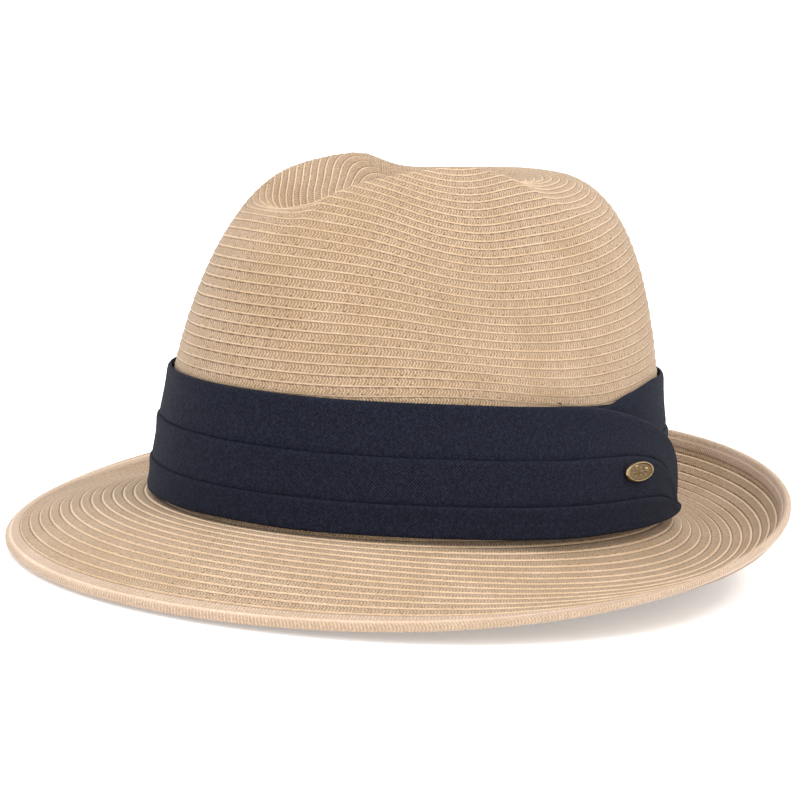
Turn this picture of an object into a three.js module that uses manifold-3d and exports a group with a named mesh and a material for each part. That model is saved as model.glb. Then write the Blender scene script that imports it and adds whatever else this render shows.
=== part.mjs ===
// Snap-brim fedora of sewn straw braid with a three-pleat cloth band.
//
// Frame: millimetres, +Z up. The origin is the centre of the head opening, on the level plane of the
// headline (where crown and brim meet). The front of the hat is -Y and the wearer's left is +X.
// An angle called "around" is in degrees from the front, growing towards the wearer's left.

import * as THREE from "three";
import { mergeVertices } from "three/addons/utils/BufferGeometryUtils.js";
import Module from "manifold-3d";

const manifoldLibrary = await Module();
manifoldLibrary.setup();

// ---------------------------------------------------------------- driving dimensions

const headline = {
  halfLength: 101.5, // front to back, outside of the straw
  halfWidth: 84.8, // side to side, outside of the straw
  egg: 0.07, // the oval is narrower in front and wider behind by this share
};

const straw = {
  thickness: 1.8, // braid rows, overlapped and sewn
  gap: 0.3, // clearance between pieces that touch
};

const crown = {
  height: 133.5, // of the open dome before the crease goes in
  squareness: { front: 3.29, back: 4.25, side: 2.44 }, // superellipse exponents of the profile
  taper: { front: 0.034, back: 0.11 }, // how much the wall leans in
  ringSpacing: 10, // height between rings of facets, at most, on what lies against the wall
  wallRings: 11,
  topRings: 10,
};

const crease = {
  frontY: -85, // where the centre crease begins
  backY: 88,
  frontRun: 31, // length over which it reaches its depth
  backRun: 100,
  frontHalfWidth: 16.8,
  backHalfWidth: 48,
  wideningRun: 115,
  waist: 8.3, // the crease is narrower by this much between the pinches
  waistY: -5,
  waistHalfLength: 26,
  depth: 24.3,
  roundness: 1.06,
  fadeBelow: 53, // the crease leaves everything below this height alone
  fadeRun: 45,
};

const pinch = {
  y: -22,
  z: 95,
  depth: 10.5,
  halfLength: 72,
  halfHeight: 49.4,
  exponent: 2.2,
  fadeFrom: 4, // distance from the middle line where it starts
  fadeRun: 24,
};

// The brim leaves the headline at the root slope and ends at the edge slope, in degrees. Each is
// a mean value plus terms in once, twice and three times the angle around the hat.
const brim = {
  width: 58,
  rootSlope: [-26, 17, 7, -3.2],
  edgeSlope: [26, -68, -3, 4.6],
  slopeGrowth: 1.3,
  rings: 10,
  snapLineY: -107, // the front of the brim folds along this line
};

const edgeRow = { width: 5.5, thickness: 1.2, inset: 0.8, lift: 0.5 };

const sweatband = {
  bottom: 1.5,
  top: 31,
  thickness: 1.2,
  tapeWidth: 12,
  tapeThickness: 0.8,
  tapeInset: 0.5, // of the tape below the top edge
  threadThickness: 0.6,
  threadHeight: 3, // of the line of stitching above the bottom edge
};

const label = { around: 163, width: 24, height: 16, thickness: 0.6, top: 27, clearance: 1.9 };

const band = {
  bottom: 1.6,
  height: 45.7,
  rearRise: 4.5, // the band is this much higher round the back
  rearRiseFrom: 104, // around, on both sides
  rearRiseRun: 24,
  backingThickness: 0.7,
  backingInset: 2, // the backing stays this far inside the cloth's edges
  clothThickness: 1,
  pleatLines: [1, 0.595, 0.245], // tops of the pleats, as shares of the height
  pleatStep: 0.9, // each pleat stands this much prouder than the one above
  pleatEdge: 1, // height of a pleat's sloping top edge
  tacks: 6,
  firstTack: 30, // around
  tackLength: 3,
  tackThickness: 0.5,
};

const tongue = {
  root: 84, // around
  start: 90, // where the overlapping end begins to narrow
  tip: 139.5,
  edgeDrop: 0.6, // of its top edge below the band's
  edgeRise: 0.3, // of its bottom edge above the band's
  thickness: 2,
  liningThickness: 0.7,
  liningReach: 2, // degrees that the lining shows past the tip
  tipHeight: 5,
  roundness: 1.45,
  columns: 18,
  rows: 6,
};

// The badge's size is that of its plate.
const badge = {
  around: 108.2,
  z: 22.4,
  length: 18,
  width: 7.2,
  clearance: 0.4, // behind the plate
  plateThickness: 0.9,
  dome: 0.6,
  prongWidth: 1.6,
  prongThickness: 0.5,
  prongSpacing: 7,
  washerThickness: 0.4,
  washerLength: 11,
  washerWidth: 4.8,
};

const columns = 56; // facets around the hat
const bigBox = 600; // larger than the hat, for cutting

// ---------------------------------------------------------------- small maths

const radians = (degrees) => (degrees * Math.PI) / 180;

const mix = (a, b, t) => a + (b - a) * t;

function smooth(t) {
  const u = Math.min(Math.max(t, 0), 1);
  return u * u * (3 - 2 * u);
}

function harmonics(terms, angle) {
  return terms.reduce((sum, term, order) => sum + term * Math.cos(order * angle), 0);
}

function evenly(count, from, to) {
  return Array.from({ length: count + 1 }, (_, i) => mix(from, to, i / count));
}

// ---------------------------------------------------------------- the oval of the head opening

// A point on the headline, moved outward by offset, with its outward direction.
function ovalPoint(angle, offset = 0) {
  const { halfLength, halfWidth, egg } = headline;
  const across = halfWidth * (Math.cos(angle) - egg * Math.cos(2 * angle));
  const along = halfLength * Math.sin(angle);
  const outward = new THREE.Vector2(along, -across).normalize();
  const x = halfWidth * Math.sin(angle) * (1 - egg * Math.cos(angle));
  const y = -halfLength * Math.cos(angle);
  return { x: x + outward.x * offset, y: y + outward.y * offset, outward };
}

// ---------------------------------------------------------------- the crown's surface

function crownProfile(angle) {
  const towardsBack = smooth((1 - Math.cos(angle)) / 2);
  const sideways = Math.sin(angle) ** 2;
  const ends = mix(crown.squareness.front, crown.squareness.back, towardsBack);
  return {
    exponent: mix(ends, crown.squareness.side, sideways),
    taper: mix(crown.taper.front, crown.taper.back, towardsBack),
  };
}

// The open dome: reach is the share of the oval's size left at this height share.
function domePoint(angle, reach, heightShare, inset) {
  const { taper } = crownProfile(angle);
  const base = ovalPoint(angle, -inset);
  const size = reach * (1 - taper * heightShare);
  return new THREE.Vector3(base.x * size, base.y * size, (crown.height - inset) * heightShare);
}

function pinchIn(point) {
  const along = Math.abs((point.y - pinch.y) / pinch.halfLength) ** pinch.exponent;
  const up = Math.abs((point.z - pinch.z) / pinch.halfHeight) ** pinch.exponent;
  const side = smooth((Math.abs(point.x) - pinch.fadeFrom) / pinch.fadeRun);
  point.x -= Math.sign(point.x) * pinch.depth * Math.exp(-along - up) * side;
}

function creaseDown(point) {
  const spread = smooth((point.y - crease.frontY) / crease.wideningRun);
  const fromWaist = (point.y - crease.waistY) / crease.waistHalfLength;
  const waist = crease.waist * Math.exp(-(fromWaist ** 2));
  const halfWidth = mix(crease.frontHalfWidth, crease.backHalfWidth, spread) - waist;
  const across = Math.min(Math.abs(point.x) / halfWidth, 1);
  const section = Math.max(Math.cos((Math.PI / 2) * across), 0) ** crease.roundness;
  const front = smooth((point.y - crease.frontY) / crease.frontRun);
  const back = smooth((crease.backY - point.y) / crease.backRun);
  const high = smooth((point.z - crease.fadeBelow) / crease.fadeRun);
  point.z -= crease.depth * section * front * back * high;
}

function blocked(point) {
  pinchIn(point);
  creaseDown(point);
  return point;
}

// A point on the crown's wall at height z, inset from the outer face (negative stands proud).
function wallPoint(angle, z, inset) {
  const { exponent } = crownProfile(angle);
  const share = Math.max(z, 0) / (crown.height - inset);
  const reach = (1 - share ** exponent) ** (1 / exponent);
  return blocked(domePoint(angle, reach, share, inset));
}

// The shoulder, where wall turns into top, is where reach and height share are equal.
function shoulderShare(angle) {
  return 0.5 ** (1 / crownProfile(angle).exponent);
}

function topPoint(angle, reachShare, inset) {
  const { exponent } = crownProfile(angle);
  const reach = reachShare * shoulderShare(angle);
  const heightShare = (1 - reach ** exponent) ** (1 / exponent);
  return blocked(domePoint(angle, reach, heightShare, inset));
}

// ---------------------------------------------------------------- the brim's surface

// A point on the brim, along its width from the headline, raised by lift square to the surface.
function brimPoint(angle, along, lift) {
  const steps = 24;
  const base = ovalPoint(angle, straw.gap);
  const root = radians(harmonics(brim.rootSlope, angle));
  const edge = radians(harmonics(brim.edgeSlope, angle));
  const slopeAt = (t) => mix(root, edge, Math.max(t, 0) ** brim.slopeGrowth);
  let out = 0;
  let up = 0;
  for (let i = 0; i < steps; i += 1) {
    const slope = slopeAt(((i + 0.5) / steps) * (along / brim.width));
    out += (Math.cos(slope) * along) / steps;
    up += (Math.sin(slope) * along) / steps;
  }
  const slope = slopeAt(along / brim.width);
  out -= Math.sin(slope) * lift;
  up += Math.cos(slope) * lift;
  return new THREE.Vector3(base.x + base.outward.x * out, base.y + base.outward.y * out, up);
}

// ---------------------------------------------------------------- meshes from rows of points

function geometryFrom(points, faces) {
  const geometry = new THREE.BufferGeometry();
  const positions = points.flatMap((point) => [point.x, point.y, point.z]);
  geometry.setAttribute("position", new THREE.Float32BufferAttribute(positions, 3));
  geometry.setIndex(faces.flat());
  return geometry;
}

// A solid swept right round the hat. section(angle) gives its closed outline, listed so that it
// runs counter-clockwise when outward is to the right and up is up.
function ringSolid(section) {
  const rows = evenly(columns, 0, 2 * Math.PI).slice(0, columns).map(section);
  const size = rows[0].length;
  const faces = [];
  for (let i = 0; i < columns; i += 1) {
    for (let j = 0; j < size; j += 1) {
      const a = i * size + j;
      const b = i * size + ((j + 1) % size);
      const c = ((i + 1) % columns) * size + j;
      const d = ((i + 1) % columns) * size + ((j + 1) % size);
      faces.push([a, c, d], [a, d, b]);
    }
  }
  return geometryFrom(rows.flat(), faces);
}

// A closed patch: outer and inner are the same grid of points, rows by columns, seen from outside
// with the columns running to the wearer's back on the left side of the hat.
function patchSolid(outer, inner) {
  const rows = outer.length;
  const width = outer[0].length;
  const points = [...outer.flat(), ...inner.flat()];
  const at = (i, j, side) => side * rows * width + i * width + j;
  const faces = [];
  const quad = (a, b, c, d) => faces.push([a, b, c], [a, c, d]);
  for (let i = 0; i < rows - 1; i += 1) {
    for (let j = 0; j < width - 1; j += 1) {
      quad(at(i, j, 0), at(i, j + 1, 0), at(i + 1, j + 1, 0), at(i + 1, j, 0));
      quad(at(i, j, 1), at(i + 1, j, 1), at(i + 1, j + 1, 1), at(i, j + 1, 1));
    }
  }
  for (let j = 0; j < width - 1; j += 1) {
    quad(at(0, j, 1), at(0, j + 1, 1), at(0, j + 1, 0), at(0, j, 0));
    quad(at(rows - 1, j, 0), at(rows - 1, j + 1, 0), at(rows - 1, j + 1, 1), at(rows - 1, j, 1));
  }
  for (let i = 0; i < rows - 1; i += 1) {
    quad(at(i, 0, 0), at(i + 1, 0, 0), at(i + 1, 0, 1), at(i, 0, 1));
    quad(at(i, width - 1, 1), at(i + 1, width - 1, 1), at(i + 1, width - 1, 0), at(i, width - 1, 0));
  }
  return geometryFrom(points, faces);
}

function toSolid(geometry) {
  const bare = geometry.clone();
  bare.deleteAttribute("normal");
  bare.deleteAttribute("uv");
  const merged = mergeVertices(bare);
  const mesh = new manifoldLibrary.Mesh({
    numProp: 3,
    vertProperties: merged.attributes.position.array,
    triVerts: new Uint32Array(merged.index.array),
  });
  return new manifoldLibrary.Manifold(mesh);
}

function toGeometry(solid) {
  const mesh = solid.getMesh();
  const geometry = new THREE.BufferGeometry();
  geometry.setAttribute("position", new THREE.BufferAttribute(mesh.vertProperties, 3));
  geometry.setIndex(new THREE.BufferAttribute(mesh.triVerts, 1));
  return geometry;
}

function cutBy(geometry, cutters) {
  return toGeometry(cutters.reduce((solid, cutter) => solid.subtract(toSolid(cutter)), toSolid(geometry)));
}

// ---------------------------------------------------------------- placing small pieces

// The place on a wall at this angle and height: x runs back along the wall, y up it, z outward.
function wallFrame(around, z, stand) {
  const angle = radians(around);
  const step = 0.01;
  const origin = wallPoint(angle, z, -stand);
  const back = wallPoint(angle + step, z, -stand).sub(wallPoint(angle - step, z, -stand)).normalize();
  const up = wallPoint(angle, z + 1, -stand).sub(wallPoint(angle, z - 1, -stand)).normalize();
  const out = new THREE.Vector3().crossVectors(back, up).normalize();
  up.crossVectors(out, back);
  return new THREE.Matrix4().makeBasis(back, up, out).setPosition(origin);
}

function wallBox(frame, size, centre) {
  const box = new THREE.BoxGeometry(...size);
  box.translate(...centre);
  box.applyMatrix4(frame);
  return box;
}

// ---------------------------------------------------------------- materials

function material(color, roughness, metalness = 0) {
  return new THREE.MeshStandardMaterial({ color, roughness, metalness });
}

const strawFinish = material("#e2c5a7", 0.75);
const strawEdgeFinish = material("#d9bd9c", 0.75);
const navyCloth = material("#232633", 0.9);
const navyLining = material("#1a1c26", 0.9);
const agedBrass = material("#8a6f42", 0.4, 1);
const sweatCloth = material("#1f222d", 0.85);
const labelCloth = material("#e9e6df", 0.8);
const thread = material("#c9b394", 0.8);

// ---------------------------------------------------------------- straw pieces

function crownGeometry() {
  const { thickness } = straw;
  const points = [];
  const faces = [];
  const angles = evenly(columns, 0, 2 * Math.PI).slice(0, columns);
  const addShell = (inset) => {
    const start = points.length;
    evenly(crown.wallRings, 0, 1).forEach((share) => {
      angles.forEach((angle) => {
        const z = share * shoulderShare(angle) * (crown.height - inset);
        points.push(wallPoint(angle, z, inset));
      });
    });
    evenly(crown.topRings, 1, 0).slice(1, -1).forEach((share) => {
      angles.forEach((angle) => points.push(topPoint(angle, share, inset)));
    });
    points.push(topPoint(0, 0, inset));
    return start;
  };
  const rings = crown.wallRings + crown.topRings;
  const addFaces = (start, outward) => {
    const put = (a, b, c) => faces.push(outward ? [a, b, c] : [a, c, b]);
    for (let k = 0; k < columns; k += 1) {
      const next = (k + 1) % columns;
      for (let i = 0; i < rings - 1; i += 1) {
        const low = start + i * columns;
        const high = low + columns;
        put(low + k, low + next, high + next);
        put(low + k, high + next, high + k);
      }
      const last = start + (rings - 1) * columns;
      put(last + k, last + next, start + rings * columns);
    }
  };
  const outer = addShell(0);
  const inner = addShell(thickness);
  addFaces(outer, true);
  addFaces(inner, false);
  for (let k = 0; k < columns; k += 1) {
    const next = (k + 1) % columns;
    faces.push([outer + k, inner + k, inner + next], [outer + k, inner + next, outer + next]);
  }
  return geometryFrom(points, faces);
}

function brimStrip(from, to, rings, bottom, top) {
  return ringSolid((angle) => {
    const under = evenly(rings, from, to).map((along) => brimPoint(angle, along, bottom));
    const over = evenly(rings, to, from).map((along) => brimPoint(angle, along, top));
    return [...under, ...over];
  });
}

function frontHalfSpace(clearance) {
  const box = new THREE.BoxGeometry(bigBox, bigBox, bigBox);
  box.translate(0, brim.snapLineY - clearance - bigBox / 2, 0);
  return box;
}

function frontOf(geometry) {
  return toGeometry(toSolid(geometry).intersect(toSolid(frontHalfSpace(straw.gap / 2))));
}

function rearOf(geometry) {
  return toGeometry(toSolid(geometry).subtract(toSolid(frontHalfSpace(-straw.gap / 2))));
}

function brimGeometry() {
  return brimStrip(0, brim.width, brim.rings, -straw.thickness, 0);
}

function edgeRowGeometry() {
  const to = brim.width - edgeRow.inset;
  return brimStrip(to - edgeRow.width, to, 2, edgeRow.lift, edgeRow.lift + edgeRow.thickness);
}

// ---------------------------------------------------------------- inside the crown

// Enough steps in height that pieces lying on the curved wall keep their clearance.
const wallSteps = (height) => Math.ceil(height / crown.ringSpacing);

// A ring on the wall. Its top is a height, or a function that gives one for each angle.
function wallRing(bottom, top, inset, thickness) {
  const topAt = typeof top === "function" ? top : () => top;
  const steps = wallSteps(topAt(Math.PI) - bottom);
  return ringSolid((angle) => {
    const heights = evenly(steps, bottom, topAt(angle));
    return [
      ...heights.map((z) => wallPoint(angle, z, inset)),
      ...heights.reverse().map((z) => wallPoint(angle, z, inset + thickness)),
    ];
  });
}

const sweatbandInset = straw.thickness + straw.gap;
const sweatbandFace = sweatbandInset + sweatband.thickness;

function sweatbandGeometry() {
  return wallRing(sweatband.bottom, sweatband.top, sweatbandInset, sweatband.thickness);
}

// The tape that covers the join at the back stops just above the line of stitching.
function seamTapeGeometry() {
  const bottom = sweatband.bottom + sweatband.threadHeight + sweatband.threadThickness + 2 * straw.gap;
  const top = sweatband.top - sweatband.tapeInset;
  const inset = sweatbandFace + 2 * straw.gap;
  const frame = wallFrame(180, (bottom + top) / 2, -inset - sweatband.tapeThickness / 2);
  return wallBox(frame, [sweatband.tapeWidth, top - bottom, sweatband.tapeThickness], [0, 0, 0]);
}

// The thread that sews the sweatband in, as one line of stitching round its lower edge.
function sweatbandThreadGeometry() {
  const bottom = sweatband.bottom + sweatband.threadHeight;
  const inset = sweatbandFace + straw.gap;
  return wallRing(bottom, bottom + sweatband.threadThickness, inset, sweatband.threadThickness);
}

function labelGeometry() {
  const inset = sweatbandFace + label.clearance;
  const frame = wallFrame(label.around, label.top, -inset);
  return wallBox(frame, [label.width, label.height, label.thickness], [0, -label.height / 2, 0]);
}

// ---------------------------------------------------------------- the cloth band

const backingStand = straw.gap;
const clothStand = backingStand + band.backingThickness + straw.gap;
const proudestPleat = clothStand + band.clothThickness + band.pleatStep * (band.pleatLines.length - 1);

// The height of the band's top edge, which runs higher round the back.
function bandTop(angle) {
  const fromFront = Math.acos(Math.cos(angle));
  const share = (fromFront - radians(band.rearRiseFrom)) / radians(band.rearRiseRun);
  return band.bottom + band.height + band.rearRise * smooth(share);
}

function bandGeometry() {
  const steps = wallSteps(band.height + band.rearRise);
  return ringSolid((angle) => {
    const top = bandTop(angle);
    const heightAt = (share) => mix(band.bottom, top, share);
    const outer = band.pleatLines.flatMap((line, pleat) => {
      const stand = clothStand + band.clothThickness + band.pleatStep * pleat;
      const bottom = heightAt(band.pleatLines[pleat + 1] ?? 0);
      return [wallPoint(angle, heightAt(line) - band.pleatEdge, -stand), wallPoint(angle, bottom, -stand)];
    });
    const inner = evenly(steps, top, band.bottom).map((z) => wallPoint(angle, z, -clothStand));
    const edge = wallPoint(angle, top, -clothStand - band.clothThickness / 2);
    return [...inner, ...outer.reverse(), edge];
  });
}

function bandBackingGeometry() {
  const bottom = band.bottom + band.backingInset;
  const topAt = (angle) => bandTop(angle) - band.backingInset;
  return wallRing(bottom, topAt, -backingStand - band.backingThickness, band.backingThickness);
}

// The tongue's upper edge falls in a rounded line from the band's top to its low tip.
function tongueTop(around) {
  const along = Math.min(Math.max((around - tongue.start) / (tongue.tip - tongue.start), 0), 1);
  const fall = (1 - along ** tongue.roundness) ** (1 / tongue.roundness);
  const highest = bandTop(radians(tongue.start)) - tongue.edgeDrop;
  return mix(band.bottom + tongue.tipHeight, highest, fall);
}

// A layer of the tongue. Its far end can reach some degrees past the tip.
function tonguePatch(stand, thickness, reach) {
  const stretch = (tongue.tip + reach - tongue.root) / (tongue.tip - tongue.root);
  const arounds = evenly(tongue.columns, tongue.root, tongue.tip);
  const rowAt = (share, inset) => arounds.map((around) => {
    const z = mix(band.bottom + tongue.edgeRise, tongueTop(around), share);
    const angle = radians(tongue.root + (around - tongue.root) * stretch);
    return wallPoint(angle, z, inset);
  });
  const shares = evenly(tongue.rows, 0, 1);
  const outer = shares.map((share) => rowAt(share, -stand - thickness));
  const inner = shares.map((share) => rowAt(share, -stand));
  return patchSolid(outer, inner);
}

const liningStand = proudestPleat + 2 * straw.gap;
const tongueStand = liningStand + tongue.liningThickness + straw.gap;

function tackGeometry(around) {
  const reach = clothStand + band.clothThickness / 2;
  const height = bandTop(radians(around)) + straw.gap + band.tackThickness;
  const size = [band.tackLength, band.tackThickness, reach];
  return wallBox(wallFrame(around, height, 0), size, [0, 0, reach / 2 + straw.gap]);
}

// ---------------------------------------------------------------- the badge

const badgeStand = tongueStand + tongue.thickness + badge.clearance;
const washerStand = liningStand - straw.gap - badge.washerThickness;

const badgeFrame = () => wallFrame(badge.around, badge.z, badgeStand);

// An oval plate with rounded edges and a gently domed face.
function badgePlateGeometry() {
  const { plateThickness, dome } = badge;
  const profile = [
    [0, 0],
    [0.94, 0],
    [1, 0.25 * plateThickness],
    [1, 0.8 * plateThickness],
    [0.9, plateThickness],
    [0.5, plateThickness + 0.75 * dome],
    [0, plateThickness + dome],
  ].map(([radius, height]) => new THREE.Vector2(radius, height));
  const plate = new THREE.LatheGeometry(profile, 28);
  plate.rotateX(Math.PI / 2);
  plate.scale(badge.length / 2, badge.width / 2, 1);
  plate.applyMatrix4(badgeFrame());
  return toGeometry(toSolid(plate));
}

// The two prongs, or the slots that they go through, which are larger by the clearance all round.
function prongBoxes(clearance) {
  const depth = badgeStand - washerStand + badge.washerThickness - straw.gap;
  const size = [badge.prongThickness, badge.prongWidth, depth].map((side) => side + 2 * clearance);
  const middle = -straw.gap - depth / 2;
  return [-1, 1].map((side) => wallBox(badgeFrame(), size, [(side * badge.prongSpacing) / 2, 0, middle]));
}

function washerGeometry() {
  const disc = new THREE.CylinderGeometry(1, 1, badge.washerThickness, 24);
  disc.rotateX(Math.PI / 2);
  disc.scale(badge.washerLength / 2, badge.washerWidth / 2, 1);
  disc.translate(0, 0, washerStand - badgeStand + badge.washerThickness / 2);
  disc.applyMatrix4(badgeFrame());
  return disc;
}

// ---------------------------------------------------------------- the hat

const hat = new THREE.Group();

function add(name, geometry, finish) {
  geometry.computeVertexNormals();
  const mesh = new THREE.Mesh(geometry, finish);
  mesh.name = name;
  hat.add(mesh);
}

const prongSlots = () => prongBoxes(straw.gap);

function tongueLiningGeometry() {
  return cutBy(tonguePatch(liningStand, tongue.liningThickness, tongue.liningReach), prongSlots());
}

function tongueGeometry() {
  return cutBy(tonguePatch(tongueStand, tongue.thickness, 0), prongSlots());
}

add("crown", crownGeometry(), strawFinish);
add("brim_rear", rearOf(brimGeometry()), strawFinish);
add("brim_front", frontOf(brimGeometry()), strawFinish);
add("edge_row_rear", rearOf(edgeRowGeometry()), strawEdgeFinish);
add("edge_row_front", frontOf(edgeRowGeometry()), strawEdgeFinish);
add("sweatband", sweatbandGeometry(), sweatCloth);
add("sweatband_seam_tape", seamTapeGeometry(), navyLining);
add("sweatband_thread", sweatbandThreadGeometry(), thread);
add("size_label", labelGeometry(), labelCloth);
add("hatband_backing", bandBackingGeometry(), navyLining);
add("hatband", bandGeometry(), navyCloth);
for (let i = 0; i < band.tacks; i += 1) {
  add(`hatband_tack_${i + 1}`, tackGeometry(band.firstTack + (i * 360) / band.tacks), navyCloth);
}
add("tongue_lining", tongueLiningGeometry(), navyLining);
add("hatband_tongue", tongueGeometry(), navyCloth);
add("badge_plate", badgePlateGeometry(), agedBrass);
prongBoxes(0).forEach((prong, i) => add(`badge_prong_${i + 1}`, prong, agedBrass));
add("badge_washer", cutBy(washerGeometry(), prongSlots()), agedBrass);

export default hat;
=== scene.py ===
"""Snap-brim fedora of sewn straw braid with a pleated cloth band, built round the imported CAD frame.

Shapes are worked out in millimetres, in the hat's frame: +Z up, the front is -Y, the wearer's left
is +X, and the origin is the centre of the head opening at the headline. "Around" is the angle from
the front towards the wearer's left. Meshes are scaled to metres when they are made.
"""

import math

import bpy
import numpy as np
from mathutils import Matrix, Vector


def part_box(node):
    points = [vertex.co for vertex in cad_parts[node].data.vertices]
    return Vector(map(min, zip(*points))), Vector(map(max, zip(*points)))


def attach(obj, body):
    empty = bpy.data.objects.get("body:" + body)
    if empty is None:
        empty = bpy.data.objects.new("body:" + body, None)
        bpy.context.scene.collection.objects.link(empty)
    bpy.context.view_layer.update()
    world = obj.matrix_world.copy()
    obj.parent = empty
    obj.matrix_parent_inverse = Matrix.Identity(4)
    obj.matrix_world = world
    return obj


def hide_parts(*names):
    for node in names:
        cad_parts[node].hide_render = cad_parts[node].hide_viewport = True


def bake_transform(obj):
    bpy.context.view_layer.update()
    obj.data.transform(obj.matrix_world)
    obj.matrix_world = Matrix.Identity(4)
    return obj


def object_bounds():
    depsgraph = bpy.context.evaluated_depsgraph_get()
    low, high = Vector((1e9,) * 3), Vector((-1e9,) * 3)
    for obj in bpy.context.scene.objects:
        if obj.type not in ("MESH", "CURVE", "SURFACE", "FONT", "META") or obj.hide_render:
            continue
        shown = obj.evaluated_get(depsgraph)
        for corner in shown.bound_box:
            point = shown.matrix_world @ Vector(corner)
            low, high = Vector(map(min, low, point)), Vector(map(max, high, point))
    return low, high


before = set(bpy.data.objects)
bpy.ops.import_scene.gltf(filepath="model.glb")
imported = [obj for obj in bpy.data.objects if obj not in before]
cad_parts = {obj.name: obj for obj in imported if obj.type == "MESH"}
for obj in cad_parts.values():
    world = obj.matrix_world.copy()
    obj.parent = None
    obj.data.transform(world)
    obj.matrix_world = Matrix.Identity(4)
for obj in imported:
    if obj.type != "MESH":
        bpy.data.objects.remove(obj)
cad_low, cad_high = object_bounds()

MM = 0.001
FULL_TURN = 2 * math.pi


def box_mm(node):
    low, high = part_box(node)
    return np.array(low) / MM, np.array(high) / MM


# ---------------------------------------------------------------- driving dimensions

crown_low, crown_high = box_mm("crown")
sweat_low, sweat_high = box_mm("sweatband")
band_low = box_mm("hatband")[0]
label_high = box_mm("size_label")[1]

EGG = 0.07  # the oval is narrower in front and wider behind by this share
WIDEST = 1.0015  # the egg's widest half, as a share of its half width
HALF_LENGTH = (crown_high[1] - crown_low[1]) / 2
HALF_WIDTH = (crown_high[0] - crown_low[0]) / 2 / WIDEST
DOME_HEIGHT = 1.08207 * crown_high[2]  # of the open dome, before the crease goes in

SQUARENESS_FRONT, SQUARENESS_BACK, SQUARENESS_SIDE = 3.29, 4.25, 2.44
TAPER_FRONT, TAPER_BACK = 0.034, 0.11

CREASE = {
    "front": -85, "back": 88, "front_run": 31, "back_run": 100,
    "front_half_width": 16.8, "back_half_width": 48, "widening": 115,
    "waist": 8.3, "waist_y": -5, "waist_half_length": 26,
    "depth": 24.3, "roundness": 1.06, "fade_below": 53, "fade_run": 45,
}
PINCH = {
    "y": -22, "z": 95, "depth": 10.5, "half_length": 72, "half_height": 49.4,
    "exponent": 2.2, "fade_from": 4, "fade": 24,
}
SHOULDER = {"x": 35, "half_width": 17, "y": 8, "half_length": 34, "rise": 4}  # beside the crease

BRIM_WIDTH = 58
BRIM_ROOT = (-26, 17, 7, -3.2)  # slope in degrees: a mean, then harmonics of the angle around
BRIM_EDGE = (26, -68, -3, 4.6)
SLOPE_GROWTH = 1.3

STRAW = 1.8  # thickness of the sewn braid
GAP = 0.3

CROWN_ROWS = 56
CROWN_COLUMNS = 210
ROW_SAG = (0.03, 0.002)  # how far rows at mid height are shifted, as once and twice round the hat
GATHER = {"amount": 0.3, "y": -33, "half_length": 29, "z": 37, "run": 14}  # closer rows at the pinches
BRIM_ROWS = 15
BRIM_COLUMNS = 320
BRIM_TUCK = 1.5  # of the brim's first row under the crown

# A braid row's section: share of the row from its sewn-down selvedge, and height above the rest.
ROW_MARKS = (0.0, 0.05, 0.15, 0.28, 0.7, 0.96)
ROW_HEIGHTS = (-0.26, 0.1, 0.2, 0.1, 0.02, -0.08)
BACK_MARKS = (0.0, 0.9)
BACK_HEIGHTS = (0.0, 0.5)
BRIM_MARKS = (0.04, 0.3, 0.72, 0.85, 0.95, 0.999)  # the brim's rows, which overlap the other way
UNDER_MARKS = (0.0, 0.06, 0.5)
UNDER_HEIGHTS = (0.0, 0.55, 0.25)

# The doubled edge row's section: distance along the brim, and height above the brim's top face.
EDGE_SECTION = (
    (52.0, 0.0), (52.3, 0.4), (53.4, 0.6), (55.4, 0.6), (57.2, 0.5), (58.1, 0.15), (58.5, -0.6),
    (58.4, -1.4), (57.9, -2.0), (56.6, -2.35), (54.6, -2.4), (53.6, -2.3), (53.2, -1.8), (53.0, -0.6),
)
EDGE_BRAID_MIDDLE, EDGE_BRAID_SPREAD = 0.34, 0.26  # the part of a braid row that its material shows

BAND_HEIGHT = 45.7
REAR_RISE = 4.5  # the band is this much higher round the back
REAR_RISE_FROM, REAR_RISE_RUN = 104, 24
PLEAT_LINES = (1.0, 0.595, 0.245)  # tops of the pleats, as shares of the band's height
PLEAT_STEP = 0.85
PLEAT_MARKS = (1.0, 0.985, 0.95, 0.88, 0.72, 0.5, 0.28, 0.12, 0.04, 0.0)
PLEAT_SWELL = (-0.75, -0.1, 0.2, 0.25, 0.05, -0.05, 0.1, 0.3, 0.2, -0.5)
PLEAT_FULL = 6  # a pleat lower than this swells less
BAND_BASE = 2.3  # how far the top pleat's cloth stands off the straw
BAND_BACK = 1.2
TONGUE_LIFT = 4.4
TONGUE_START, TONGUE_TIP = 90, 139.5
TONGUE_EDGE_DROP = 0.6
TONGUE_TIP_HEIGHT = 5
TONGUE_ROUNDNESS = 1.65
TONGUE_LINE_FALLS = ((4, 0.8), (5, 1.0))  # how the pleat lines come down to the tip
UNDER_START = 68
LINING_REACH = 2  # degrees of the tongue's lining that show past its tip
LINING_STAND, LINING_THICKNESS = 4.75, 0.6

# Cloth as it is cut, width and length. The band's width takes in two pressed folds of 6 mm.
LABEL_FLAT = (0.024, 0.016)

UNDER_DIP = 3.5  # of the hidden end's top edge, up to where it comes out behind the tongue
UNDER_DIP_FROM, UNDER_DIP_RUN = 98, 14

SWEATBAND_STAND = -(STRAW + GAP + 1.2)  # stands inside the hat are negative
SWEATBAND_STITCHES = 150
STITCH_SHARE = 0.34  # half of a stitch, as a share of the space it has
LABEL_AROUND = 163
LABEL_COLUMNS, LABEL_ROWS = 25, 17
LABEL_STITCHES = 9
TACK_THREAD = 0.15
TACK_SPACING = 0.25  # of its two stitches from its middle
# Each stitch's ends: distance below the tack's middle, and how far it stands off the straw.
TACK_START, TACK_END = (1.6, 0.2), (2.6, 1.3)

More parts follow.
